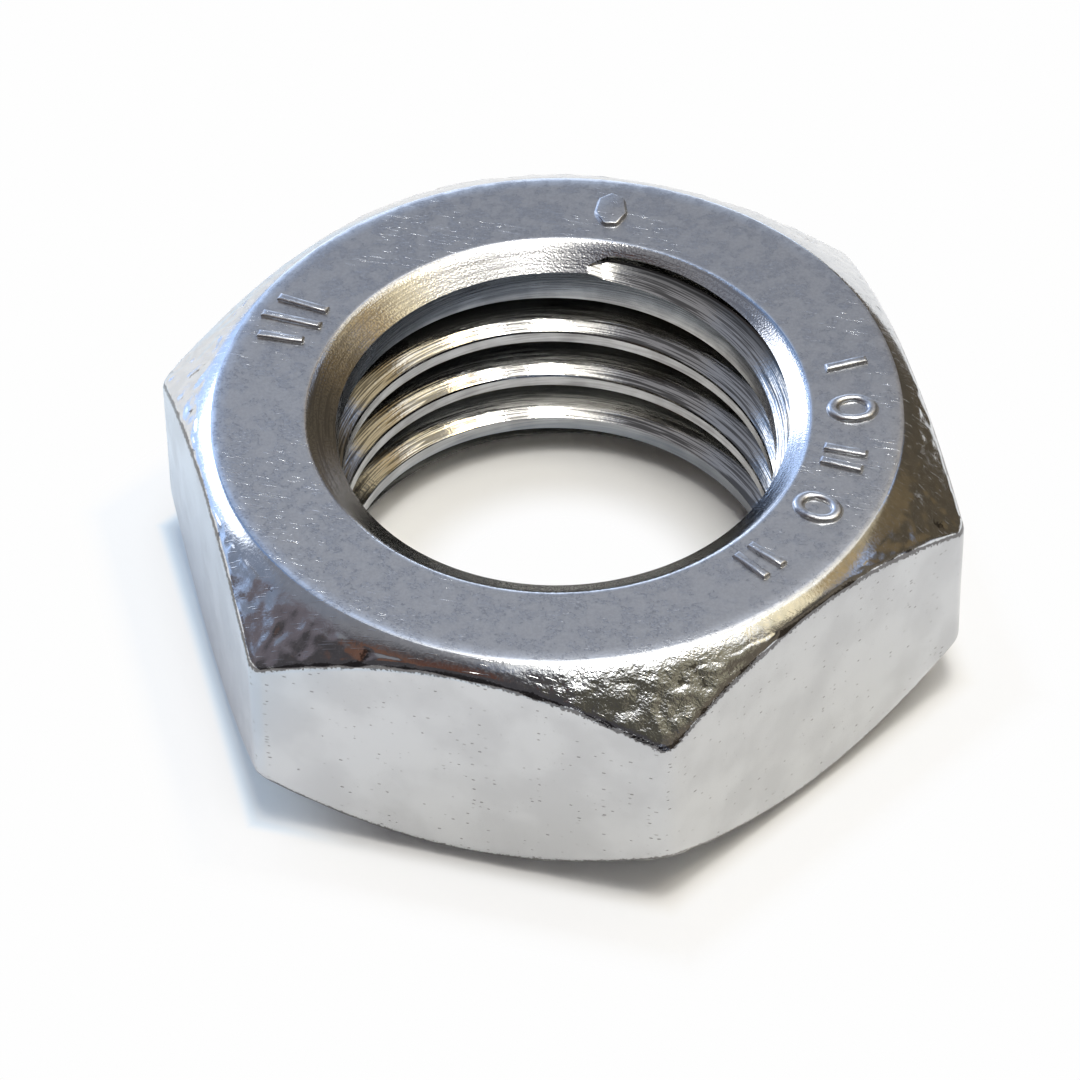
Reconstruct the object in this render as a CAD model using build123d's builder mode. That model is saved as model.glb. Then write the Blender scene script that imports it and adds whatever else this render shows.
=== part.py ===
"""Half nut: a thin hexagon nut, cold forged from steel, with a coarse right-hand inch thread.

The nut lies on one of its two faces. The origin is the middle of that lower face, +Z is the way
up, and two of the six corners lie on the X axis. All sizes are in millimetres.
"""
import os
from math import ceil, cos, radians, sin, sqrt, tan
from build123d import *
from build123d.topology import SkipClean

# Body
across_flats = 32.7
thickness = 12.5
corner_radius = 0.93

# Chamfer on both faces: it starts at the rim of the flat face, inside the flats, and curves down
rim_inset = 0.96
chamfer_angle = 34.0
chamfer_height = 2.8

# Thread, 7/8 inch with nine threads to the inch, tapped a little wide of its nominal 22.225
major_diameter = 22.5
pitch = 25.4 / 9
flank_angle = 30.0
thread_phase = 0.225

# Countersink at each mouth of the hole, its rim just outside the roots of the thread
countersink_margin = 0.06
countersink_angle = 110.0

# Turned blank: its chamfers run out to where sharp corners would be
rim_radius = across_flats / 2 - rim_inset
blank_radius = across_flats / sqrt(3)
rim_run = cos(radians(chamfer_angle))
rim_drop = sin(radians(chamfer_angle))

# Thread form, in shares of the pitch: the groove between two crests, and its flat root
groove_depth = 0.5209 * pitch
root_width = pitch / 6
bore_radius = major_diameter / 2 - groove_depth

# Groove as it is cut: open a little past the crests, and in whole turns from below to above
overcut = 0.1
mouth_width = root_width + 2 * (groove_depth + overcut) * tan(radians(flank_angle))
groove_start = -(pitch + thread_phase)
groove_turns = ceil(thickness / pitch) + 2

# Countersinks, as full cones
countersink_radius = major_diameter / 2 + countersink_margin
countersink_height = countersink_radius / tan(radians(countersink_angle / 2))

with BuildPart() as nut:
    # Six-sided bar, with its long edges rounded as the forging die leaves them
    with BuildSketch():
        RegularPolygon(radius=across_flats / 2, side_count=6, major_radius=False)
    extrude(amount=thickness)
    fillet(nut.edges().filter_by(Axis.Z), radius=corner_radius)

    # Both faces chamfered: what lies outside the turned blank goes away
    with BuildSketch(Plane.XZ):
        with BuildLine():
            upper = TangentArc(
                (rim_radius, thickness),
                (blank_radius, thickness - chamfer_height),
                tangent=(rim_run, -rim_drop),
            )
            lower = TangentArc(
                (rim_radius, 0),
                (blank_radius, chamfer_height),
                tangent=(rim_run, rim_drop),
            )
            Line(upper @ 1, lower @ 1)
            Polyline(upper @ 0, (0, thickness), (0, 0), lower @ 0)
        make_face()
    revolve(axis=Axis.Z, mode=Mode.INTERSECT)

    # The cuts below aren't merged, so that the wall of the hole keeps the seams of its quarters
    with SkipClean():
        # Bore, a quarter at a time
        for quarter in range(4):
            with BuildSketch():
                with BuildLine():
                    wall = CenterArc((0, 0), bore_radius, quarter * 90, 90)
                    Polyline(wall @ 1, (0, 0), wall @ 0)
                make_face()
            extrude(amount=thickness, mode=Mode.SUBTRACT)

        # Countersinks: a cone turned into each face
        with BuildSketch(Plane.XZ):
            for face, tip in ((thickness, thickness - countersink_height), (0, countersink_height)):
                with BuildLine():
                    Polyline((0, face), (countersink_radius, face), (0, tip), close=True)
                make_face()
        revolve(axis=Axis.Z, mode=Mode.SUBTRACT)

        # Thread: a trapezoid groove led along a right-hand helix, turn after turn past both faces
        for turn in range(groove_turns):
            with BuildLine(Plane.XY.offset(groove_start + turn * pitch)) as helix:
                Helix(pitch=pitch, height=pitch, radius=bore_radius)
            with BuildSketch(Plane(origin=helix.line @ 0, x_dir=(1, 0, 0), z_dir=helix.line % 0)):
                with BuildLine():
                    Polyline(
                        (-overcut, -mouth_width / 2),
                        (groove_depth, -root_width / 2),
                        (groove_depth, root_width / 2),
                        (-overcut, mouth_width / 2),
                        close=True,
                    )
                make_face()
            sweep(is_frenet=True, mode=Mode.SUBTRACT)

nut.part.label = "half_nut"
os.makedirs("parts", exist_ok=True)
export_step(nut.part, "parts/half_nut.step")
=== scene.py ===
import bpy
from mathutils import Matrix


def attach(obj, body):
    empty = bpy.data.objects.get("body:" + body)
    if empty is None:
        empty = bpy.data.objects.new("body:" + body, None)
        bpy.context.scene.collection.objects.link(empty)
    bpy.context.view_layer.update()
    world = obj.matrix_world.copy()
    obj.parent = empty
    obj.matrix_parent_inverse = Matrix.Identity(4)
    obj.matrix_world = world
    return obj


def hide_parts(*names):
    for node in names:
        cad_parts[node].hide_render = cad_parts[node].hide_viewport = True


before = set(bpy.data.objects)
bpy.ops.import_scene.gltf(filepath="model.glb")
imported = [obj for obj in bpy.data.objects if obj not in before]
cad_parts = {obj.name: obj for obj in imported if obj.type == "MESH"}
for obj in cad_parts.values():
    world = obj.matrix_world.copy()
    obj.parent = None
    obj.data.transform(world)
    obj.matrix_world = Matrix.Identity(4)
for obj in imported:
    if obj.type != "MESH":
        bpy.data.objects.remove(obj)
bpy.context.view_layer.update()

# %% [markdown]
# ## Sizes
# They are the sizes of the solid, in millimetres. A workshop thinks in millimetres, and Blender's
# bevel and boolean tools work more safely on numbers near one than near a thousandth. So the nut is
# modelled a thousand times too large, and shrunk to metres at the end.
# %% Sizes in millimetres
from math import atan2, cos, degrees, exp, hypot, pi, radians, sin, sqrt, tan

import bmesh
import bpy
from mathutils import Quaternion, Vector, noise
from mathutils.kdtree import KDTree

across_flats = 32.7
thickness = 12.5
half = thickness / 2
corner_radius = 0.93
blank_radius = across_flats / sqrt(3)
rim_inset = 0.96
rim_radius = across_flats / 2 - rim_inset
chamfer_height = 2.8

pitch = 25.4 / 9
root_radius = 11.25
bore_radius = 9.78
sink_radius = 11.31
sink_slope = tan(radians(35))
sink_depth = (sink_radius - bore_radius) * sink_slope
thread_phase = 0.225
print(f"rim {2 * rim_radius:.2f}, bore {2 * bore_radius:.2f}, countersink {sink_depth:.2f} deep")

# %% [markdown]
# ## Camera
# A long lens, about 200 mm, looks down on the nut at 46 degrees, with one corner towards it. The
# place of the camera was fitted to the edges of the real nut. Its distance is given in widths across
# flats, so that it would suit a nut of any size. It leans by a degree, as a hand-set tripod does.
# %% Camera
def towards(azimuth, elevation):
    """Unit vector that points to a place in the room."""
    a, e = radians(azimuth), radians(elevation)
    return Vector((cos(e) * cos(a), cos(e) * sin(a), sin(e)))


mm = 0.001
camera_azimuth = -74
camera_place = towards(-73.996, 46.297) * 8.4775 * across_flats * mm
camera_aim = Vector((-0.02622, -0.00752, 0.12811)) * across_flats * mm
bpy.ops.object.camera_add(location=camera_place)
camera = bpy.context.object
camera.rotation_mode = "QUATERNION"
look = (camera_aim - camera_place).to_track_quat("-Z", "Y")
camera.rotation_quaternion = look @ Quaternion((0, 0, 1), radians(-0.953))
camera.data.sensor_width = 36
camera.data.lens = 199.6
camera.data.clip_start = 0.01
bpy.context.scene.camera = camera
print(f"camera {camera_place.length:.3f} m away, lens {camera.data.lens:.0f} mm")

# %% [markdown]
# ## Working by hand, in code
# In Blender's window a modeller clicks on what the next tool should act on. A script has no mouse, so
# it picks by place instead: these helpers select the vertices or edges that pass a test, and print
# how many there were.
# %% Helpers that pick
def only(piece):
    """Make one object the active one, with nothing else selected."""
    bpy.ops.object.select_all(action="DESELECT")
    piece.select_set(True)
    bpy.context.view_layer.objects.active = piece


def pick(test, kind="VERT", say=None):
    """In edit mode, select what passes the test. An edge is tested by both its ends."""
    bpy.ops.mesh.select_mode(type="VERT")
    bpy.ops.mesh.select_all(action="DESELECT")
    bpy.ops.mesh.select_mode(type=kind)
    mesh = bmesh.from_edit_mesh(bpy.context.object.data)
    items = mesh.verts if kind == "VERT" else mesh.edges
    count = 0
    for item in items:
        ends = (item.co,) if kind == "VERT" else [v.co for v in item.verts]
        if test(*ends):
            item.select_set(True)
            count += 1
    mesh.select_flush_mode()
    bmesh.update_edit_mesh(bpy.context.object.data)
    if say:
        print(f"{say}: {count}")


def reach(point):
    """Distance from the thread's axis."""
    return hypot(point.x, point.y)


def near(value, wanted, slack=0.002):
    return abs(value - wanted) < slack


# %% [markdown]
# ## The hexagon
# The forging die gives the nut its six sides, with soft edges between them. The outline starts as a
# six-sided circle. A vertex bevel rounds its corners, and each side is cut into short steps, because
# the curved chamfer that comes next needs many columns to look smooth.
# %% Outline of the hexagon
side_steps = 84
corner_steps = 14
corner_offset = corner_radius * tan(radians(30))
bpy.ops.object.select_all(action="DESELECT")
bpy.ops.mesh.primitive_circle_add(
    vertices=6, radius=blank_radius, fill_type="NGON", location=(0, 0, half)
)
nut = bpy.context.object
nut.name = "dressed_half_nut"
bpy.ops.object.transform_apply(location=True, rotation=True, scale=True)
bpy.ops.object.mode_set(mode="EDIT")
if near(nut.data.vertices[0].co.x, 0):
    bpy.ops.mesh.select_all(action="SELECT")
    bpy.ops.transform.rotate(value=radians(30), orient_axis="Z", center_override=(0, 0, 0))
bpy.ops.mesh.bevel(
    affect="VERTICES", offset_type="OFFSET", offset=corner_offset, segments=corner_steps
)
bpy.ops.mesh.delete(type="ONLY_FACE")
side = blank_radius - 2 * corner_offset
pick(lambda a, b: (a - b).length > side * 0.9, "EDGE", "long edges")
bpy.ops.mesh.subdivide(number_cuts=side_steps - 1)
bpy.ops.object.mode_set(mode="OBJECT")
outline_reach = [reach(v.co) for v in nut.data.vertices]
shortest, longest = min(outline_reach), max(outline_reach)
print(f"outline: {len(outline_reach)} points, reach {shortest:.3f} to {longest:.3f}")

# %% [markdown]
# ## Rings of the upper face
# Seen from above, a nut's face is a set of rings: the chamfer, the flat ring, the countersink and the
# bore. The outline is extruded inwards once for each. "To sphere" makes the first ring a true circle
# without turning it, so that every column of the mesh stays in one plane through the axis, and the
# rings that follow are only scaled. Only the upper half is made: the lower half is its mirror image.
# %% Rings
def ring_in(radius, drop, say):
    """Extrude the innermost ring to a new radius and height, and leave it selected."""
    bpy.ops.mesh.extrude_edges_move(TRANSFORM_OT_translate={"value": (0, 0, drop)})
    ring = [v.co for v in bmesh.from_edit_mesh(nut.data).verts if v.select]
    scale = radius / reach(ring[0])
    bpy.ops.transform.resize(value=(scale, scale, 1), center_override=(0, 0, 0))
    print(f"{say}: ring of {radius:.2f} mm")


bulge_radius = rim_radius + 1.2
inner_ring = rim_radius + 0.74
rolled_radius = sink_radius + 0.28
mouth_radius = bore_radius + 0.22
mouth_depth = (sink_radius - mouth_radius) * sink_slope
worn_depth = 3.4
only(nut)
bpy.ops.object.mode_set(mode="EDIT")
bpy.ops.mesh.select_all(action="SELECT")
bpy.ops.mesh.extrude_edges_move(TRANSFORM_OT_translate={"value": (0, 0, 0)})
bpy.ops.transform.tosphere(value=1)
bpy.ops.transform.resize(value=(0.9, 0.9, 1), center_override=(0, 0, 0))
middle = reach(next(v.co for v in bmesh.from_edit_mesh(nut.data).verts if v.select))
to_size = inner_ring / middle
bpy.ops.transform.resize(value=(to_size, to_size, 1), center_override=(0, 0, 0))
ring_in(rim_radius, 0, "rim of the flat face")
ring_in(rolled_radius, 0, "where the face starts to roll over")
ring_in(sink_radius, 0, "countersink")
ring_in(mouth_radius, -mouth_depth, "mouth of the bore")
ring_in(bore_radius, -(worn_depth - mouth_depth), "where the worn mouth ends")
ring_in(bore_radius, -(half - worn_depth), "middle of the bore")

# %% [markdown]
# ## Rows between the rings
# Each strip between two rings is cut into rows. They are close where the surface will bend: on the
# chamfer, beside the rim and in the countersink. Subdividing only the edges that run from ring to
# ring cuts a strip straight through, as a loop cut does in the window.
# %% Rows
def cut_rows(inner, outer, cuts, say):
    """Cut the strip between two radii into rows."""
    def runs_across(a, b):
        low, high = sorted((reach(a), reach(b)))
        return near(low, inner) and high > inner + 0.05 and (outer is None or near(high, outer))
    pick(runs_across, "EDGE", say)
    bpy.ops.mesh.subdivide(number_cuts=cuts)


cut_rows(inner_ring, None, 19, "columns of the chamfer")
cut_rows(rim_radius, inner_ring, 6, "columns of the chamfer beside the rim")
cut_rows(rolled_radius, rim_radius, 5, "columns of the flat ring")
cut_rows(sink_radius, rolled_radius, 4, "columns of the rolled edge")
cut_rows(mouth_radius, sink_radius, 7, "columns of the countersink")
cut_rows(bore_radius, mouth_radius, 6, "columns of the worn mouth")
print("faces of the upper face:", len(bmesh.from_edit_mesh(nut.data).faces))

# %% [markdown]
# ## Turning the chamfer
# On a lathe the chamfer is cut by a tool that moves only with the distance from the axis, whatever
# the side of the hexagon. So each vertex outside the rim drops to the height that its own radius
# gives. The surface bulges: it leaves the rim gently, grows steeper over the first 1.2 mm and runs
# straight from there, so that it catches first the ceiling of a room and then its walls. It reaches
# deepest at the corners, and so it makes the curved line that all nuts have on their flats. The mouth
# of the bore is worn wider in the same way, in a curve that ends 3.4 mm down.
# %% Chamfer
bulge = bulge_radius - rim_radius
rim_angle = 27
rim_slope = tan(radians(rim_angle))
# The straight part is aimed a little inside the sharp corner of the hexagon, which is rounded off
wanted_drop, wanted_run = chamfer_height - 0.11, blank_radius - 0.19 - rim_radius
end_slope = (wanted_drop - rim_slope * bulge / 2) / (wanted_run - bulge / 2)


def chamfer_drop(radius):
    """How far the turned surface lies below the flat face at this radius."""
    run = max(radius - rim_radius, 0)
    bent = min(run, bulge)
    curved = rim_slope * bent + (end_slope - rim_slope) * bent * bent / (2 * bulge)
    return curved + end_slope * (run - bent)


print(f"the chamfer grows from {rim_angle} to {degrees(atan2(end_slope, 1)):.1f} degrees")
bpy.ops.object.mode_set(mode="OBJECT")
for v in nut.data.vertices:
    if reach(v.co) > rim_radius + 0.001:
        v.co.z -= chamfer_drop(reach(v.co))
    if reach(v.co) < mouth_radius - 0.001 and v.co.z > half - worn_depth:
        to_go = 1 - (half - v.co.z - mouth_depth) / (worn_depth - mouth_depth)
        wear_and_painted_reflection = (bore_radius + (mouth_radius - bore_radius) * to_go * to_go) / reach(v.co)
        v.co = Vector((v.co.x * wear_and_painted_reflection, v.co.y * wear_and_painted_reflection, v.co.z))
low = min(v.co.z for v in nut.data.vertices if reach(v.co) > rim_radius)
at_flats = chamfer_drop(across_flats / 2)
print(f"chamfer: {at_flats:.2f} mm deep on the flats, {half - low:.2f} at the corners")

# %% [markdown]
# ## Sides, and rolled edges
# The sides are the outline drawn straight down. The first five steps down are short, because the
# edge is rolled over there, as plating and handling do: every vertex within 0.34 mm of the edge moves
# inwards, most at the edge itself and less and less away from it, which makes a small round. The
# mouth of the countersink is softened by averaging its vertices. A razor-sharp edge would look like
# a drawing and not like steel.
# %% Sides
only(nut)
bpy.ops.object.mode_set(mode="EDIT")
bpy.ops.mesh.select_mode(type="EDGE")
bpy.ops.mesh.select_all(action="DESELECT")
bpy.ops.mesh.select_non_manifold(
    extend=False, use_wire=False, use_boundary=True,
    use_multi_face=False, use_non_contiguous=False, use_verts=False,
)
mesh = bmesh.from_edit_mesh(nut.data)
for edge in mesh.edges:
    if edge.select and reach(edge.verts[0].co) < rim_radius:
        edge.select_set(False)
edge_line = {tuple(round(n, 4) for n in v.co) for v in mesh.verts if v.select}
print("vertices along the edge of the flats:", len(edge_line))
for step in range(5):
    bpy.ops.mesh.extrude_edges_move(TRANSFORM_OT_translate={"value": (0, 0, -0.09)})
bpy.ops.transform.resize(value=(1, 1, 0), center_override=(0, 0, 0))


def runs_down_a_side(a, b):
    return near(min(a.z, b.z), 0) and abs(a.z - b.z) > 1 and reach(a) > rim_radius


pick(runs_down_a_side, "EDGE", "long side edges")
bpy.ops.mesh.subdivide(number_cuts=8)


def smooth_ring(radius, width, depth, times, say):
    """Round an edge of the upper face by averaging the vertices beside it."""
    pick(lambda p: abs(reach(p) - radius) < width and p.z > half - depth, "VERT", say)
    bpy.ops.mesh.vertices_smooth(factor=0.5, repeat=times)


smooth_ring(sink_radius, 0.3, 0.25, 7, "vertices rolled over at the countersink")
smooth_ring(rim_radius, 0.16, 0.1, 2, "vertices softened at the rim")
bpy.ops.object.mode_set(mode="OBJECT")

roll, roll_share = 0.34, 0.22
edge_tree = KDTree(len(edge_line))
bisectors = []
for v in nut.data.vertices:
    if tuple(round(n, 4) for n in v.co) in edge_line:
        outward = v.normal.dot(v.co) > 0
        edge_tree.insert(v.co, len(bisectors))
        bisectors.append(v.normal.copy() if outward else -v.normal)
edge_tree.balance()
for v in nut.data.vertices:
    place, number, gap = edge_tree.find(v.co)
    if gap < roll:
        v.co -= bisectors[number] * roll_share * roll * (1 - gap / roll) ** 2
print(f"edges of {len(bisectors)} columns rolled over")

# %% [markdown]
# ## The other face
# Both faces of this nut are alike, so a Mirror modifier makes the lower half. A mirror turns faces
# inside out, so the normals are worked out again once the halves are joined. Then the nut is lifted
# to stand on the floor.
# %% Mirror the half
only(nut)
mirror = nut.modifiers.new("other_face", "MIRROR")
mirror.use_axis = (False, False, True)
mirror.use_clip = True
mirror.merge_threshold = 0.002
bpy.ops.object.modifier_apply(modifier=mirror.name)
bpy.ops.object.mode_set(mode="EDIT")
bpy.ops.mesh.select_all(action="SELECT")
bpy.ops.mesh.remove_doubles(threshold=0.0005)
bpy.ops.mesh.normals_make_consistent(inside=False)
bpy.ops.transform.translate(value=(0, 0, half))
bpy.ops.object.mode_set(mode="OBJECT")
print(f"blank without its thread: {len(nut.data.polygons)} faces")

# %% [markdown]
# ## The tap
# A tap is a hardened screw that cuts the thread as it is wound through the nut. The same is done
# here. One ridge of the tap is drawn as a small trapezoid: a plane is cut into a grid, its vertices
# are put in their places, and its faces are dissolved, which leaves the outline. The side that lies in
# the bore is flared, so that it breaks the sharp edges of the crests.
# %% Ridge of the tap
def ridge_half_width(radius):
    return pitch / 12 + (root_radius - radius) * tan(radians(30))


first_turn = -thread_phase - pitch
edge_break, clearance = 0.05, 0.12
flare = (edge_break + clearance) * tan(radians(62))
stations = (
    (bore_radius - clearance, ridge_half_width(bore_radius + edge_break) + flare),
    (bore_radius + edge_break, ridge_half_width(bore_radius + edge_break)),
    (root_radius - 0.06, ridge_half_width(root_radius - 0.06)),
    (root_radius, ridge_half_width(root_radius) - 0.06),
)
bpy.ops.object.select_all(action="DESELECT")
bpy.ops.mesh.primitive_grid_add(x_subdivisions=3, y_subdivisions=1, size=2)
tap = bpy.context.object
tap.name = "tap"
for v in tap.data.vertices:
    radius, width = stations[round((v.co.x + 1) * 1.5)]
    v.co = Vector((radius, 0, first_turn + v.co.y * width))
bpy.ops.object.mode_set(mode="EDIT")
bpy.ops.mesh.select_all(action="SELECT")
bpy.ops.mesh.dissolve_faces()
bpy.ops.mesh.delete(type="ONLY_FACE")
bpy.ops.object.mode_set(mode="OBJECT")
land = pitch - 2 * ridge_half_width(bore_radius)
print(f"ridge: {len(tap.data.vertices)} points, crest land {land:.2f} mm wide")

# %% [markdown]
# ## Winding the tap
# A Screw modifier winds the ridge up in a right-hand helix, one pitch for each turn. The ends are
# closed, because a Boolean needs a closed body. This nut's last thread fades out in the countersink:
# over its last half turn the ridge is drawn inwards and upwards, and at the back it ends in a tip.
# %% Wind the tap
turns = 5.292
fade, tip_length = 0.5, 0.035
drawn_in, drawn_up = 0.49, 0.27
tip_in, tip_down = 1.1, 0.15
only(tap)
winding = tap.modifiers.new("winding", "SCREW")
winding.axis = "Z"
winding.angle = 2 * pi * turns
winding.screw_offset = pitch * turns
winding.steps = winding.render_steps = round(180 * turns)
winding.use_merge_vertices = False
bpy.ops.object.modifier_apply(modifier=winding.name)
bpy.ops.object.mode_set(mode="EDIT")
bpy.ops.mesh.select_all(action="SELECT")
bpy.ops.mesh.fill_holes(sides=0)
bpy.ops.mesh.normals_make_consistent(inside=False)
bpy.ops.object.mode_set(mode="OBJECT")
for v in tap.data.vertices:
    along = (degrees(atan2(v.co.y, v.co.x)) % 360) / 360
    turn = round((v.co.z - first_turn) / pitch - along) + along
    share = max(turn - turns + fade, 0) / fade
    tip = max(turn - turns + tip_length, 0) / tip_length
    if share:
        inwards = 1 - (drawn_in * share + tip_in * tip) / reach(v.co)
        upwards = v.co.z + drawn_up * share - tip_down * tip
        v.co = Vector((v.co.x * inwards, v.co.y * inwards, upwards))
heights = [v.co.z for v in tap.data.vertices]
print(f"tap: {len(tap.data.polygons)} faces, from {min(heights):.2f} to {max(heights):.2f} mm")

# %% [markdown]
# ## Tapping
# A Boolean modifier takes the tap out of the nut, with the exact solver. What is left between two
# turns of the groove is the crest of the thread.
# %% Tap the nut
only(nut)
tapping = nut.modifiers.new("tapping", "BOOLEAN")
tapping.operation = "DIFFERENCE"
tapping.solver = "EXACT"
tapping.object = tap
bpy.ops.object.modifier_apply(modifier=tapping.name)
bpy.data.objects.remove(tap)
bpy.ops.object.mode_set(mode="EDIT")
bpy.ops.mesh.select_all(action="SELECT")
bpy.ops.mesh.remove_doubles(threshold=0.0005)
bpy.ops.object.mode_set(mode="OBJECT")
print(f"tapped nut: {len(nut.data.polygons)} faces")

# %% [markdown]
# ## What the forge leaves
# No forged nut is as even as its drawing. The edge of the flats is ragged, the flats wave a little,
# and one corner was struck and is dented. Noise moves the vertices: each place gets its own amount,
# and the same amount every time the script runs.
# %% Uneven surfaces
def wander(point, size, seed):
    """Smooth noise between about -1 and 1, with bumps of the given size in millimetres."""
    return noise.noise(Vector((point.x, point.y, point.z + seed)) / size)


def ease(value, low, high):
    """Rise smoothly from 0 at low to 1 at high. It falls where low is the larger."""
    share = min(max((value - low) / (high - low), 0), 1)
    return share * share * (3 - 2 * share)


struck = towards(-62, 0)
small_dent, large_dent, wave, fray = 0.015, 0.034, 0.012, 0.05
normals = [v.normal.copy() for v in nut.data.vertices]
moved = 0
for v, normal in zip(nut.data.vertices, normals):
    p, r = v.co.copy(), reach(v.co)
    depth = half - abs(p.z - half)
    if r < rim_radius - 0.5:
        continue
    out = Vector((p.x / r, p.y / r, 0))
    on_side = ease(abs(normal.z), 0.5, 0.2)
    on_chamfer = (1 - on_side) * ease(r, rim_radius, bulge_radius)
    hammered = 0.10 + 0.90 * ease(out.dot(struck), 0.86, 0.97)
    dents = small_dent * wander(p, 0.5, 3) + large_dent * wander(p, 1.3, 11)
    v.co += normal * dents * hammered * on_chamfer
    v.co += normal * on_side * wave * wander(p, 2.5, 20)
    edge = exp(-((depth - chamfer_drop(r)) / 0.12) ** 2) * ease(r, 16.2, 16.34)
    v.co.z += edge * (fray * wander(p, 0.5, 7) + fray * wander(p, 1.2, 9))
    moved += 1
print("vertices moved by the forge:", moved)

# %% [markdown]
# ## Finishes by place
# The nut has one plating, but each surface was made in its own way before it, and that still shows.
# So each kind of surface gets its own material. The faces are told apart by place and by the way they
# look: up or down for the flat rings, sideways for the flats, in between for the chamfers.
# %% Sort the faces
kinds = ["face", "chamfer", "flat", "countersink", "thread", "crest"]


def kind_of(middle, normal):
    r, depth = reach(middle), half - abs(middle.z - half)
    if r > rim_radius:
        return "flat" if abs(normal.z) < 0.35 else "chamfer"
    if depth < 0.03 or r > sink_radius:
        return "face"
    cone = (sink_radius - r) * sink_slope
    if abs(depth - cone) < 0.04 and normal.z * (1 if middle.z > half else -1) > 0.5:
        return "countersink"
    return "crest" if r < mouth_radius + 0.06 and abs(normal.z) < 0.4 else "thread"


counts = dict.fromkeys(kinds, 0)
for polygon in nut.data.polygons:
    kind = kind_of(polygon.center, polygon.normal)
    polygon.material_index = kinds.index(kind)
    counts[kind] += 1
print(counts)

# %% [markdown]
# ## To metres
# The nut is shrunk to its real size. The scale goes into the mesh, so that the object itself stays
# unscaled at the origin. Edges that turn by less than 18 degrees are shaded smooth.
# %% Real size
only(nut)
nut.scale = (mm, mm, mm)
bpy.ops.object.transform_apply(location=True, rotation=True, scale=True)
bpy.ops.object.shade_smooth_by_angle(angle=radians(18))
print("nut measures", [round(n * 1000, 2) for n in nut.dimensions], "mm")

# %% [markdown]
# ## Materials from nodes
# Each finish is a small tree of nodes. Typing out every node and wire would hide the idea, so one
# helper adds a node, sets its inputs and draws its wires. The others build on it: noise of a given
# grain, a ramp from one value to another, and sums. Patterns are measured in millimetres on the
# object itself, so that they keep their true size and stay put when the nut moves.
# %% Helpers for nodes
def put(tree, kind, inputs=None, **settings):
    """Add a node. An input is either a value or the output of another node."""
    made = tree.nodes.new("ShaderNode" + kind)
    for name, value in settings.items():
        setattr(made, name, value)
    for name, value in (inputs or {}).items():
        if isinstance(value, bpy.types.NodeSocket):
            tree.links.new(value, made.inputs[name])
        else:
            made.inputs[name].default_value = value
    return made


def ramp(tree, value, low, high, start=0.0, end=1.0):
    """Smooth step: start below low, end above high."""
    if low > high:
        low, high, start, end = high, low, end, start
    wanted = {"Value": value, "From Min": low, "From Max": high, "To Min": start, "To Max": end}
    return put(tree, "MapRange", wanted, interpolation_type="SMOOTHSTEP").outputs[0]


def work(tree, operation, a, b=0.0, c=0.0):
    return put(tree, "Math", {0: a, 1: b, 2: c}, operation=operation).outputs[0]


def grain(tree, place, per_mm, detail=2.0, stretch=(1, 1, 1), turn=0.0, seed=0.0):
    """Noise with so many bumps to the millimetre, squeezed or turned about the thread's axis."""
    shift, spin = (seed, seed, seed), (0, 0, turn)
    wanted = {"Vector": place, "Location": shift, "Rotation": spin, "Scale": stretch}
    moved = put(tree, "Mapping", wanted).outputs[0]
    return put(tree, "TexNoise", {"Vector": moved, "Scale": per_mm, "Detail": detail}).outputs[0]


def start_finish(name):
    """A new material, and the place of each point in millimetres."""
    material = bpy.data.materials.new(name)
    material.use_nodes = True
    tree = material.node_tree
    tree.nodes.clear()
    place = put(tree, "TexCoord").outputs["Object"]
    place = put(tree, "VectorMath", {0: place, 3: 1000.0}, operation="SCALE").outputs[0]
    return material, tree, place


def end_finish(material, tree, colour, roughness, height, depth_mm):
    """Zinc is a metal all through, so colour, roughness and bump say all there is to say."""
    bump = put(tree, "Bump", {"Height": height, "Distance": depth_mm * mm, "Strength": 1.0})
    wanted = {"Base Color": colour, "Metallic": 1.0, "Roughness": roughness}
    metal = put(tree, "BsdfPrincipled", {**wanted, "Normal": bump.outputs[0]})
    put(tree, "OutputMaterial", {"Surface": metal.outputs[0]})
    nut.data.materials.append(material)
    print(f"{material.name}: {len(tree.nodes)} nodes")


def cover(tree, share, colour, top):
    """Lay a share of another colour over a colour."""
    return put(tree, "Mix", {0: share, 6: colour, 7: (*top, 1)}, data_type="RGBA").outputs[2]


def tint(tree, share, bright, dark):
    return cover(tree, share, (*bright, 1), dark)


def around_axis(tree, place):
    """The level part of a place: as a vector, as its direction and as its distance from the axis."""
    level = put(tree, "VectorMath", {0: place, 1: (1, 1, 0)}, operation="MULTIPLY").outputs[0]
    heading = put(tree, "VectorMath", {0: level}, operation="NORMALIZE").outputs[0]
    return level, heading, put(tree, "VectorMath", {0: level}, operation="LENGTH").outputs["Value"]


def below_chamfer(tree, place):
    """How far below the straight part of the chamfer a point lies, and its distance from the axis."""
    level, heading, radius = around_axis(tree, place)
    up = put(tree, "SeparateXYZ", {0: place}).outputs[2]
    from_middle = work(tree, "ABSOLUTE", work(tree, "SUBTRACT", up, half))
    at_axis = half - chamfer_drop(blank_radius) + end_slope * blank_radius
    cone = work(tree, "MULTIPLY_ADD", radius, -end_slope, at_axis)
    return work(tree, "SUBTRACT", cone, from_middle), radius


burnt_colour = (0.10, 0.092, 0.09)
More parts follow.
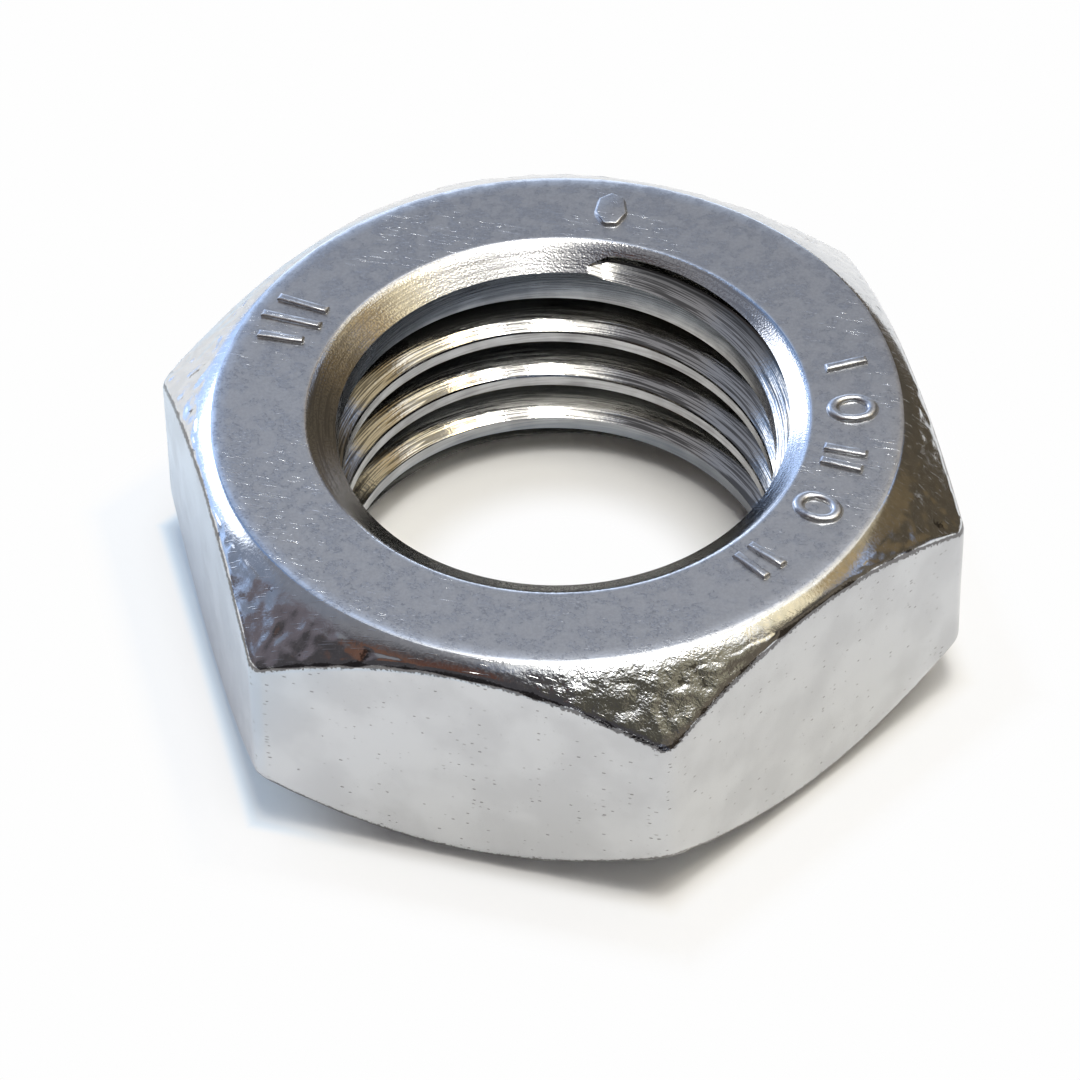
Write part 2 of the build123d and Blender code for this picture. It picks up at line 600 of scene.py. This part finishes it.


# %% [markdown]
# ## Flat rings
# The flat faces were pressed by the die and are satin. They are mottled, with hair-fine cracks of the
# forging skin, and crossed by a few bright scratches where the nut has rubbed on others. A crack is
# made where a soft noise crosses its middle value, which draws thin winding lines, and a second noise
# breaks the lines into short pieces. A scratch is a noise that is drawn out in one direction. The face
# is also painted darker towards its back, a painted shade.
# %% Finish of the flat rings
material, tree, place = start_finish("zinc_on_pressed_face")
mottle = grain(tree, place, 1.4, 3.0)
fine = grain(tree, place, 9.0, 1.0, seed=5.0)
winding = grain(tree, place, 3.0, 2.0, stretch=(1, 1.5, 1), seed=9.0)
line = ramp(tree, work(tree, "ABSOLUTE", work(tree, "SUBTRACT", winding, 0.5)), 0.04, 0.006)
cracks = work(tree, "MULTIPLY", line, ramp(tree, mottle, 0.47, 0.57))
hairs = []
for stretch, turn, seed in ((0.5, 0.9, 3.0), (1.3, 2.2, 6.0)):
    drawn = grain(tree, place, 1.0, 0.0, stretch=(stretch, 22, 1), turn=turn, seed=seed)
    hairs.append(ramp(tree, drawn, 0.785, 0.825))
hair = work(tree, "MAXIMUM", *hairs)
# Here the mask is only wear: it lets the bright scratches through where the face is rubbed.
wear_and_painted_reflection = ramp(tree, grain(tree, place, 0.2, 1.0, seed=20.0), 0.48, 0.62)
hair = work(tree, "MULTIPLY", hair, wear_and_painted_reflection)
back_for_painted_shade = put(tree, "SeparateXYZ", {0: place}).outputs[1]
dark_cracks = work(tree, "MULTIPLY", cracks, 1.8)
shade = work(tree, "MULTIPLY_ADD", ramp(tree, mottle, 0.35, 0.65), 0.85, dark_cracks)
shade = work(tree, "MULTIPLY_ADD", ramp(tree, fine, 0.35, 0.65), 0.3, shade)
# Painted shade: the face is painted darker towards its back.
shade = work(tree, "ADD", shade, ramp(tree, back_for_painted_shade, -6.0, 13.0, 0.0, 0.4))
colour = tint(tree, work(tree, "MULTIPLY", shade, 0.65), (0.79, 0.80, 0.81), (0.44, 0.45, 0.475))
satin = ramp(tree, mottle, 0.3, 0.7, 0.28, 0.33)
roughness = work(tree, "SUBTRACT", satin, work(tree, "MULTIPLY", hair, 0.12))
height = work(tree, "MULTIPLY_ADD", fine, 0.3, work(tree, "MULTIPLY", mottle, 0.3))
height = work(tree, "SUBTRACT", height, work(tree, "MULTIPLY", cracks, 0.15))
height = work(tree, "MULTIPLY_ADD", hair, 0.4, height)
end_finish(material, tree, colour, roughness, height, 0.012)

# %% [markdown]
# ## Chamfers
# The chamfers are the brightest part. One corner was struck: there the plating lies over small soft
# dents, and the metal sparkles, because each dent shows another piece of the room. The large dents
# are in the mesh, and the bump adds the ones that are too small for it. The other corners are almost
# smooth. Along the edge of the flats the plating is burnt to a thin, ragged, dark line. The rolled
# edge lies below the turned cone, and by how much tells the material where the edge is; noise frays
# the line.
# %% Finish of the chamfers
material, tree, place = start_finish("zinc_on_hammered_chamfer")
dents = grain(tree, place, 2.2, 1.0)
peen = grain(tree, place, 8.0, 2.0, seed=4.0)
level, heading, radius = around_axis(tree, place)
from_corner = put(tree, "VectorMath", {0: level, 1: struck * 18.0}, operation="DISTANCE")
hammered = ramp(tree, from_corner.outputs["Value"], 3.0, 7.0, 1.0, 0.10)
scratch = grain(tree, place, 1.0, 0.0, stretch=(0.9, 14, 3), turn=0.7, seed=5.0)
scratch = ramp(tree, scratch, 0.72, 0.78)
height = work(tree, "MULTIPLY", work(tree, "MULTIPLY_ADD", peen, 0.6, dents), hammered)
height = work(tree, "MULTIPLY_ADD", scratch, 0.07, height)
height = work(tree, "MULTIPLY_ADD", peen, 0.05, height)
below, radius = below_chamfer(tree, place)
frayed = work(tree, "MULTIPLY_ADD", peen, 0.07, below)
burnt = work(tree, "MULTIPLY", ramp(tree, frayed, 0.074, 0.096), ramp(tree, radius, 16.05, 16.3))
colour = tint(tree, ramp(tree, dents, 0.35, 0.65), (0.75, 0.765, 0.78), (0.68, 0.70, 0.72))
colour = cover(tree, work(tree, "MULTIPLY", burnt, 0.85), colour, burnt_colour)
roughness = ramp(tree, peen, 0.3, 0.7, 0.08, 0.17)
end_finish(material, tree, colour, roughness, height, 0.03)

# %% [markdown]
# ## Flats
# The six sides slid along the die. They are smooth and a little cloudy, with small pits drawn out
# along the side. A pit is the middle of a Voronoi cell, in a space that is squeezed round the axis,
# and only a few cells are let through, by their random colour; more of them along the corners. The
# burnt line of the chamfers goes on below the edge.
# %% Finish of the flats
material, tree, place = start_finish("zinc_on_drawn_flat")
cloud = grain(tree, place, 0.35, 3.0)
satin = grain(tree, place, 7.0, 2.0, seed=2.0)
level, heading, radius = around_axis(tree, place)
heading = put(tree, "VectorMath", {0: heading, 3: 42.0}, operation="SCALE").outputs[0]
rows = put(tree, "VectorMath", {0: place, 1: (0.5, 0.5, 6.2)}, operation="MULTIPLY").outputs[0]
drawn = put(tree, "VectorMath", {0: rows, 1: heading}, operation="ADD").outputs[0]
cells = put(tree, "TexVoronoi", {"Vector": drawn, "Scale": 1.0, "Randomness": 1.0})
chosen = put(tree, "SeparateColor", {0: cells.outputs["Color"]})
below, radius = below_chamfer(tree, place)
size = ramp(tree, chosen.outputs[1], 0.0, 1.0, 0.05, 0.25)
luck = work(tree, "ADD", chosen.outputs[0], ramp(tree, radius, 18.35, 18.6, 0.0, 0.25))
middles = work(tree, "LESS_THAN", cells.outputs["Distance"], size)
pits = work(tree, "MULTIPLY", middles, ramp(tree, luck, 0.56, 0.98))
frayed = work(tree, "MULTIPLY_ADD", satin, -0.36, below)
burnt = ramp(tree, frayed, -0.035, 0.02, 1.0, 0.0)
colour = tint(tree, ramp(tree, cloud, 0.35, 0.65), (0.63, 0.645, 0.665), (0.56, 0.572, 0.592))
dark_pits = work(tree, "MULTIPLY", pits, 0.65)
dark = work(tree, "MAXIMUM", dark_pits, work(tree, "MULTIPLY", burnt, 0.85))
colour = cover(tree, dark, colour, burnt_colour)
roughness = ramp(tree, cloud, 0.3, 0.7, 0.18, 0.27)
height = work(tree, "MULTIPLY_ADD", satin, 0.15, cloud)
height = work(tree, "SUBTRACT", height, work(tree, "MULTIPLY", pits, 0.4))
end_finish(material, tree, colour, roughness, height, 0.012)

# %% [markdown]
# ## Countersink and thread
# Both were cut by turning tools, so their marks run round the axis. A noise that is fine along the
# radius and coarse round the circle gives such lines. The direction from the axis is used instead of
# the angle, because an angle jumps from 360 to 0 degrees and would leave a seam. The countersink is
# grainy as well, and glitters. The roots of the thread are painted nearly black, a painted shade for
# the deep grooves, and the crests are painted dark blue-grey where the mouth of the bore is worn
# wider, a painted reflection of the dark wall across the bore.
# %% Finish of the turned surfaces
def turned_lines(tree, place, round_the_axis, across, upwards=0.4, seed=0.0):
    """Noise drawn out round the thread's axis."""
    up = put(tree, "SeparateXYZ", {0: place}).outputs[2]
    level, heading, radius = around_axis(tree, place)
    heading = put(tree, "VectorMath", {0: heading, 3: round_the_axis}, operation="SCALE").outputs[0]
    along = work(tree, "MULTIPLY_ADD", up, upwards, work(tree, "MULTIPLY", radius, across))
    lines = put(tree, "CombineXYZ", {2: work(tree, "ADD", along, seed)}).outputs[0]
    lines = put(tree, "VectorMath", {0: lines, 1: heading}, operation="ADD").outputs[0]
    lines = put(tree, "TexNoise", {"Vector": lines, "Scale": 1.0, "Detail": 2.0}).outputs[0]
    return lines, radius


material, tree, place = start_finish("zinc_on_countersink")
lines, radius = turned_lines(tree, place, 2.2, 5.0)
fine_lines, radius = turned_lines(tree, place, 3.0, 13.0, seed=20.0)
speck = grain(tree, place, 11.0, 2.0)
height = work(tree, "MULTIPLY_ADD", fine_lines, 0.5, work(tree, "MULTIPLY", lines, 0.6))
height = work(tree, "MULTIPLY_ADD", speck, 1.5, height)
dull = work(tree, "MAXIMUM", ramp(tree, speck, 0.42, 0.64), ramp(tree, fine_lines, 0.50, 0.60))
colour = tint(tree, dull, (0.80, 0.80, 0.795), (0.53, 0.53, 0.54))
end_finish(material, tree, colour, ramp(tree, speck, 0.3, 0.7, 0.06, 0.13), height, 0.006)

material, tree, place = start_finish("zinc_on_cut_thread")
tears, radius = turned_lines(tree, place, 2.2, 7.0)
fine_tears, radius = turned_lines(tree, place, 3.0, 17.0, seed=40.0)
speck = grain(tree, place, 6.0, 1.0, seed=3.0)
height = work(tree, "MULTIPLY_ADD", fine_tears, 0.45, tears)
height = work(tree, "MULTIPLY_ADD", speck, 0.5, height)
dull = ramp(tree, fine_tears, 0.49, 0.40, 0.0, 0.9)
dull = work(tree, "MAXIMUM", ramp(tree, tears, 0.46, 0.39), dull)
colour = tint(tree, dull, (0.80, 0.79, 0.76), (0.24, 0.235, 0.225))
# Painted shade: the colour grows nearly black towards the roots of the thread, where shade falls.
painted_root_shade = ramp(tree, radius, root_radius - 1.0, root_radius - 0.3, 0.0, 0.85)
colour = cover(tree, painted_root_shade, colour, (0.07, 0.075, 0.075))
end_finish(material, tree, colour, ramp(tree, fine_tears, 0.3, 0.7, 0.05, 0.13), height, 0.007)

material, tree, place = start_finish("zinc_on_bored_crest")
lines, radius = turned_lines(tree, place, 3.0, 0.0, upwards=9.0, seed=70.0)
stain = grain(tree, place, 0.7, 2.0, seed=8.0)
stripes = ramp(tree, lines, 0.4, 0.62, 0.0, 0.5)
shade = work(tree, "MULTIPLY_ADD", ramp(tree, stain, 0.35, 0.65), 0.5, stripes)
colour = tint(tree, shade, (0.56, 0.57, 0.59), (0.30, 0.30, 0.31))
# Painted reflection: near the mouth the crests are painted dark blue-grey, for the dark wall across
# the bore that they mirror.
wear_and_painted_reflection = ramp(tree, radius, bore_radius + 0.01, bore_radius + 0.10, 0.0, 0.6)
colour = cover(tree, wear_and_painted_reflection, colour, (0.16, 0.20, 0.26))
end_finish(material, tree, colour, ramp(tree, stain, 0.3, 0.7, 0.16, 0.26), lines, 0.006)

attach(nut, "root")
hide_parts("half_nut")

# %% [markdown]
# ## Raised marks
# Forged nuts carry small marks that the die leaves standing on the face. These are plain figures that
# mean nothing: bars and rings. One bar and one ring are modelled, sunk a little into the face, and
# copied to their places, each copy with its own mesh. The bar is a cube whose edges are bevelled until
# its section is a low arch. The ring is a torus with its lower half cut away.
# %% One bar and one ring
def place_flat(x, y):
    """A point on the upper face."""
    return Vector((x, y, thickness))


bpy.ops.object.select_all(action="DESELECT")
bpy.ops.mesh.primitive_cube_add(size=1, scale=(2.0, 0.46, 0.40), location=(0, 0, 0))
bar = bpy.context.object
bpy.ops.object.transform_apply(location=True, rotation=True, scale=True)
bpy.ops.object.mode_set(mode="EDIT")
pick(lambda a, b: near(a.z, b.z) and a.z > 0, "EDGE", "upper edges of the bar")
bpy.ops.mesh.bevel(offset=0.17, segments=4, profile=0.5)
pick(lambda a, b: abs(a.z - b.z) > 0.1, "EDGE", "upright edges of the bar")
bpy.ops.mesh.bevel(offset=0.12, segments=3, profile=0.5)
bpy.ops.mesh.select_all(action="SELECT")
bpy.ops.mesh.subdivide(number_cuts=2)
bpy.ops.object.mode_set(mode="OBJECT")

bpy.ops.mesh.primitive_torus_add(
    major_radius=0.66, minor_radius=0.22, major_segments=56, minor_segments=16
)
ring = bpy.context.object
bpy.ops.object.mode_set(mode="EDIT")
bpy.ops.mesh.select_all(action="SELECT")
bpy.ops.mesh.bisect(plane_co=(0, 0, -0.06), plane_no=(0, 0, 1), clear_inner=True, use_fill=True)
bpy.ops.transform.resize(value=(1, 1, 0.75), center_override=(0, 0, 0))
bpy.ops.mesh.normals_make_consistent(inside=False)
bpy.ops.object.mode_set(mode="OBJECT")
print("bar and ring:", len(bar.data.polygons), len(ring.data.polygons), "faces")

# %% [markdown]
# ## Setting the marks
# Each mark is given by its distance from the axis, its bearing, its turn and its length. The first
# three bars stand at the left, the others run round the right side.
# %% Set the marks
def stamp(pattern, radius, bearing, turn, length=1.0):
    """Copy a mark to its place on the upper face."""
    copy = pattern.copy()
    copy.data = pattern.data.copy()
    bpy.context.collection.objects.link(copy)
    copy.location = place_flat(radius * cos(radians(bearing)), radius * sin(radians(bearing)))
    copy.rotation_euler.z = radians(bearing + turn)
    copy.scale = (length, 1, 1)
    return copy


marks = [
    stamp(bar, 13.55, 164.5, 8, 1.25),
    stamp(bar, 13.50, 169.3, 8, 1.45),
    stamp(bar, 13.45, 174.6, 8, 1.10),
    stamp(bar, 12.95, -33.8, 4, 1.0), stamp(bar, 12.95, -29.6, 4, 1.0),
    stamp(ring, 13.05, -13.2, 0, 1.35),
    stamp(bar, 13.10, -0.6, -3, 1.0), stamp(bar, 13.10, 3.4, -3, 1.0),
    stamp(ring, 13.20, 15.2, 0, 1.35),
    stamp(bar, 13.30, 27.6, 5, 1.0),
]
bpy.data.objects.remove(bar)
bpy.data.objects.remove(ring)
bpy.ops.object.select_all(action="DESELECT")
bpy.ops.mesh.primitive_cylinder_add(
    vertices=7, radius=1.0, depth=0.36, location=place_flat(-1.13, 13.33)
)
pip = bpy.context.object
pip.scale = (0.82, 1.18, 1)
pip.rotation_euler.z = radians(12)
bpy.ops.object.transform_apply(location=False, rotation=False, scale=True)
bpy.ops.object.mode_set(mode="EDIT")
pick(lambda a, b: near(a.z, b.z) and a.z > 0, "EDGE", "upper edges of the pip")
bpy.ops.mesh.bevel(offset=0.16, segments=4, profile=0.5)
pick(lambda a, b: abs(a.z - b.z) > 0.05, "EDGE", "upright edges of the pip")
bpy.ops.mesh.bevel(offset=0.2, segments=3, profile=0.5)
bpy.ops.object.mode_set(mode="OBJECT")
for piece in marks:
    piece.select_set(True)
bpy.ops.object.join()
pip.name = "raised_marks"
bpy.ops.object.transform_apply(location=True, rotation=True, scale=True)
for v in pip.data.vertices:
    v.co += 0.03 * Vector((wander(v.co, 0.5, 1), wander(v.co, 0.5, 2), 0.5 * wander(v.co, 0.4, 3)))
pip.scale = (mm, mm, mm)
bpy.ops.object.transform_apply(location=True, rotation=True, scale=True)
bpy.ops.object.shade_smooth_by_angle(angle=radians(40))
pip.data.materials.append(bpy.data.materials["zinc_on_pressed_face"])
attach(pip, "root")
print("faces of the marks:", len(pip.data.polygons))

# %% [markdown]
# ## The table
# A white table stands in for the sheet of paper that small parts are photographed on. Pictures of
# parts for a catalogue are cleaned up to a white ground. So the camera sees the table mixed with
# plain white: more and more of it away from the nut, and white alone from 4.5 mm on and in the middle
# of the hole. This thins the shadow and keeps it. On the window's side the paper is painted a little
# blue, a painted light of the window, and the camera sees the edge of the shadow there painted blue, a
# painted shadow colour. The metal still sees the table itself.
# %% Table
bpy.ops.mesh.primitive_plane_add(size=3)
floor = bpy.context.object
floor.name = "white_table"
paper = bpy.data.materials.new("white_paper")
paper.use_nodes = True
tree = paper.node_tree
lit = tree.nodes["Principled BSDF"]
lit.inputs["Roughness"].default_value = 0.9
place = put(tree, "TexCoord").outputs["Object"]
away = put(tree, "VectorMath", {0: place}, operation="LENGTH").outputs["Value"]
foot = 0.0163
outside = 0.0
for bearing in (30, 90, 150):
    along = put(tree, "VectorMath", {0: place, 1: towards(bearing, 0)}, operation="DOT_PRODUCT")
    outside = work(tree, "MAXIMUM", work(tree, "ABSOLUTE", along.outputs["Value"]), outside)
leftwards = towards(camera_azimuth - 90, 0)
left = put(tree, "VectorMath", {0: place, 1: leftwards}, operation="DOT_PRODUCT").outputs["Value"]
# Painted light: on the window's side the paper's own colour is painted a little blue, for the window's
# blue light.
painted_window_light = work(tree, "MULTIPLY", ramp(tree, left, 0.014, 0.021), ramp(tree, left, 0.042, 0.026))
paper_and_painted_window_light = tint(tree, painted_window_light, (0.93, 0.93, 0.93), (0.82, 0.91, 1.0))
tree.links.new(paper_and_painted_window_light, lit.inputs["Base Color"])
in_hole = ramp(tree, away, 0.0085, 0.0055)
clear = work(tree, "MAXIMUM", ramp(tree, outside, foot, 0.0174, 0.0, 0.65), in_hole)
clear = work(tree, "MAXIMUM", ramp(tree, outside, foot, 0.0208), clear)
beside = ramp(tree, left, 0.007, 0.014)
thinned = work(tree, "MULTIPLY", beside, ramp(tree, outside, foot, 0.0170, 0.25, 0.75))
clear = work(tree, "MAXIMUM", thinned, clear)
clear = work(tree, "MULTIPLY", clear, put(tree, "LightPath").outputs["Is Camera Ray"])
# Painted shadow: for the camera, the edge of the shadow beside the nut on the window's side is painted
# blue.
painted_blue_shadow = work(tree, "MULTIPLY", beside, ramp(tree, outside, 0.0172, 0.0164))
ground = tint(tree, painted_blue_shadow, (0.991, 0.991, 0.991), (0.64, 0.82, 0.991))
white = put(tree, "Emission", {"Color": ground, "Strength": 1.0})
both = put(tree, "MixShader", {0: clear, 1: lit.outputs[0], 2: white.outputs[0]})
tree.links.new(both.outputs[0], tree.nodes["Material Output"].inputs["Surface"])
floor.data.materials.append(paper)

# %% [markdown]
# ## The studio
# Polished metal has almost no colour of its own: what makes it look like metal is the room in it. So
# the room is planned as a photographer plans it, with soft boxes, white walls and dark cards. Each is
# a soft round spot on the sky of the World, given by its direction as seen from the camera's side, its
# size and its colour. A later spot covers an earlier one.
# %% Studio
spots = [
    # name, degrees to the right of the camera, elevation, inner and outer radius in degrees, colour
    ("bright ceiling", 75, 74, 23, 33, (1.35, 1.32, 1.27)),
    ("grey wall on the right", 152, 40, 10, 18, (0.36, 0.33, 0.31)),
    ("grey wall behind", 180, 46, 11, 20, (0.25, 0.25, 0.265)),
    ("dark room behind", 150, 3, 12, 19, (0.13, 0.11, 0.09)),
    ("low window behind", 182, 6, 14, 22, (1.30, 1.50, 1.85)),
    ("window on the left", -135, 18, 18, 28, (0.70, 0.94, 1.45)),
    ("dark floor on the left", -84, 10, 14, 20, (0.14, 0.125, 0.135)),
    ("bright pane", -128, 25, 5, 8, (3.20, 3.30, 3.50)),
    ("bluish wall", -132, 47, 10, 14, (0.24, 0.35, 0.58)),
    ("grey ceiling", -80, 63, 14, 25, (0.25, 0.25, 0.27)),
    ("grey wall on the left", -101, 47, 9, 15, (0.23, 0.245, 0.29)),
    ("edge of the window", -104, 31, 8, 12, (0.24, 0.28, 0.37)),
    ("end of the pane", -118, 32, 4, 7, (2.40, 2.55, 2.90)),
    ("start of the pane", -138, 17, 5, 8, (3.40, 3.60, 4.00)),
    ("dark wall on the left", -77, 33, 11, 16, (0.17, 0.15, 0.17)),
    ("dark room in front", -24, 21, 42, 52, (0.07, 0.065, 0.07)),
    ("brown card", -54, 45, 6, 11, (0.17, 0.09, 0.065)),
    ("brown shelf", -38, 53, 6, 10, (0.12, 0.055, 0.04)),
    ("low room on the right", 62, 16, 32, 40, (0.15, 0.125, 0.095)),
    ("dark room on the right", 120, 12, 20, 29, (0.10, 0.08, 0.055)),
    ("warm wall", 45, 49, 8, 15, (0.34, 0.31, 0.22)),
    ("dark corner in front", 16, 45, 13, 18, (0.085, 0.078, 0.06)),
    ("tan wall", 115, 43, 7, 12, (0.50, 0.42, 0.28)),
    ("white curtain behind", 129, 53, 6, 11, (1.10, 1.03, 0.90)),
    ("white curtain", 102, 60, 8, 13, (1.40, 1.34, 1.22)),
    ("cream curtain", 87, 50, 6, 10, (1.15, 1.00, 0.68)),
    ("wooden door", 101, 43, 5, 9, (0.46, 0.34, 0.18)),
    ("wooden floor", 114, 27, 7, 12, (0.17, 0.125, 0.07)),
    ("dark gap", 80, 37, 5, 9, (0.07, 0.06, 0.05)),
    ("grey corner", 165, 20, 8, 13, (0.30, 0.32, 0.37)),
    ("dark corner behind", 144, 21, 9, 14, (0.09, 0.075, 0.055)),
    ("small lamp", 24, 74, 2.5, 4.5, (15.0, 14.6, 14.0)),
    ("middle lamp", 67, 68, 2, 4, (12.0, 11.6, 11.0)),
    ("small warm lamp", 82, 63, 2, 4, (11.0, 9.2, 6.0)),
    ("lamp in the ceiling", 60, 86, 6, 10, (23.2, 22.8, 21.4)),
]
world = bpy.data.worlds.new("studio")
bpy.context.scene.world = world
world.use_nodes = True
tree = world.node_tree
tree.nodes.clear()
way = put(tree, "TexCoord").outputs["Generated"]
sky = put(tree, "Background", {"Color": (0.52, 0.67, 0.98, 1), "Strength": 1.0}).outputs[0]
for name, right, up, inner, outer, colour in spots:
    middle = towards(camera_azimuth + right, up)
    facing = put(tree, "VectorMath", {0: way, 1: middle}, operation="DOT_PRODUCT")
    share = ramp(tree, facing.outputs["Value"], cos(radians(outer)), cos(radians(inner)))
    spot = put(tree, "Background", {"Color": (*colour, 1), "Strength": 1.0}, label=name).outputs[0]
    sky = put(tree, "MixShader", {0: share, 1: sky, 2: spot}).outputs[0]
put(tree, "OutputWorld", {"Surface": sky})
bpy.context.scene.view_settings.view_transform = "Standard"
print("spots in the room:", len(spots))
